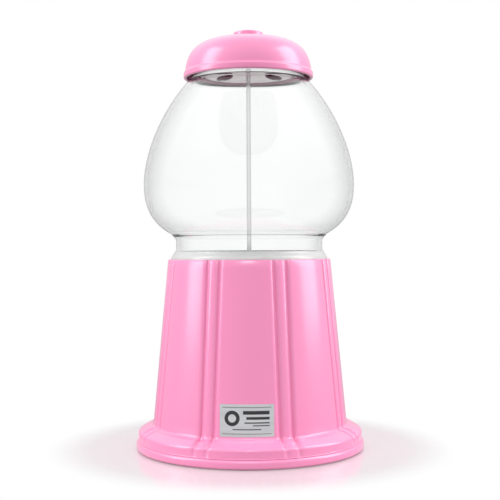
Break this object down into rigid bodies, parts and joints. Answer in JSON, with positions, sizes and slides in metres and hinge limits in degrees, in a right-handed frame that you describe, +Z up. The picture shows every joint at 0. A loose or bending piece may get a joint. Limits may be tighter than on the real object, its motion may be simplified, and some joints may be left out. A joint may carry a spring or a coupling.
{
  "type": "gumball machine",
  "caption": "Gumball machine with a fluted cast base, glass globe, domed locking lid, turning coin handle, candy wheel and flap door.",
  "frame": {"origin": "centre of the bounding box, on the surface the feet stand on; the axis of the base and globe is 3.3 mm behind it, towards +Y", "axes": "+Z up, along the globe axis; the coin mechanism faces -Y and the rear label faces +Y; +X is to the right when seen from the front"},
  "size_m": [0.2084, 0.215, 0.381],
  "materials": {
    "pink_paint": "gloss enamel on a smooth casting",
    "glass": "clear",
    "clear_rubber": "translucent, satin",
    "frosted_plastic": "translucent moulded",
    "white_plastic": "moulded, satin",
    "black_rubber": "matte",
    "chrome": "polished",
    "steel": "fine brushed",
    "zinc": "zinc-plated, dull",
    "brass": "machined",
    "label_foil": "satin foil"
  },
  "bodies": {
    "base": {"body": "pink_paint", "base_plate": "zinc", "rubber_feet": "black_rubber", "base_screws": "steel", "rod_washer": "steel", "rod_nut": "steel", "center_rod": "chrome", "rear_label": "label_foil", "globe": "glass", "globe_gasket": "clear_rubber", "hopper": "frosted_plastic", "wheel_floor": "frosted_plastic", "hub_sleeve": "steel", "wheel_washer": "steel", "wheel_nut": "steel", "wheel_cover": "white_plastic", "shaft_bracket": "steel", "coin_plate": "chrome", "mech_back_plate": "zinc", "mech_screws": "chrome", "shaft_bush": "brass", "pawl_pin": "steel", "pawl_spring": "steel", "chute": "zinc", "chute_frame": "chrome", "frame_screws": "chrome", "door_pin": "steel"},
    "coin_bank_plug": {"coin_bank_plug": "black_rubber"},
    "lid": {"lid_cap": "pink_paint", "lid_liner": "chrome", "lid_gasket": "clear_rubber", "liner_screws": "chrome", "lock_collar": "chrome"},
    "lock": {"lock_plug": "brass"},
    "wheel": {"candy_wheel": "white_plastic", "agitator": "white_plastic"},
    "handle": {"handle_shaft": "steel", "coin_handle": "chrome", "handle_screw": "chrome", "coin_disc": "zinc", "drive_gear": "brass", "ratchet_wheel": "zinc"},
    "pawl": {"coin_pawl": "steel"},
    "door": {"chute_door": "chrome"}
  },
  "joints": [
    {"name": "handle_turn", "type": "hinge", "parent": "base", "child": "handle", "pos_m": [0, -0.0867, 0.112], "axis": [0, 1, 0], "continuous": true},
    {"name": "wheel_turn", "type": "hinge", "parent": "base", "child": "wheel", "pos_m": [0, 0.0033, 0.122], "axis": [0, 0, 1], "continuous": true},
    {"name": "pawl_swing", "type": "hinge", "parent": "base", "child": "pawl", "pos_m": [-0.021, -0.0717, 0.13], "axis": [0, 1, 0], "range_deg": [0, 8], "stiffness_Nm_per_rad": 0.01, "springref_deg": -11.46},
    {"name": "door_swing", "type": "hinge", "parent": "base", "child": "door", "pos_m": [0, -0.0884, 0.0728], "axis": [-1, 0, 0], "range_deg": [0, 75]},
    {"name": "lid_lift", "type": "slide", "parent": "base", "child": "lid", "axis": [0, 0, 1], "range_m": [0, 0.06]},
    {"name": "lock_turn", "type": "hinge", "parent": "lid", "child": "lock", "pos_m": [0, 0.0033, 0.37], "axis": [0, 0, 1], "range_deg": [0, 90]},
    {"name": "plug_pull", "type": "slide", "parent": "base", "child": "coin_bank_plug", "axis": [0, 0, -1], "range_m": [0, 0.004]}
  ],
  "couplings": [
    {"joint": "wheel_turn", "follows": "handle_turn", "ratio": 0.16667}
  ]
}
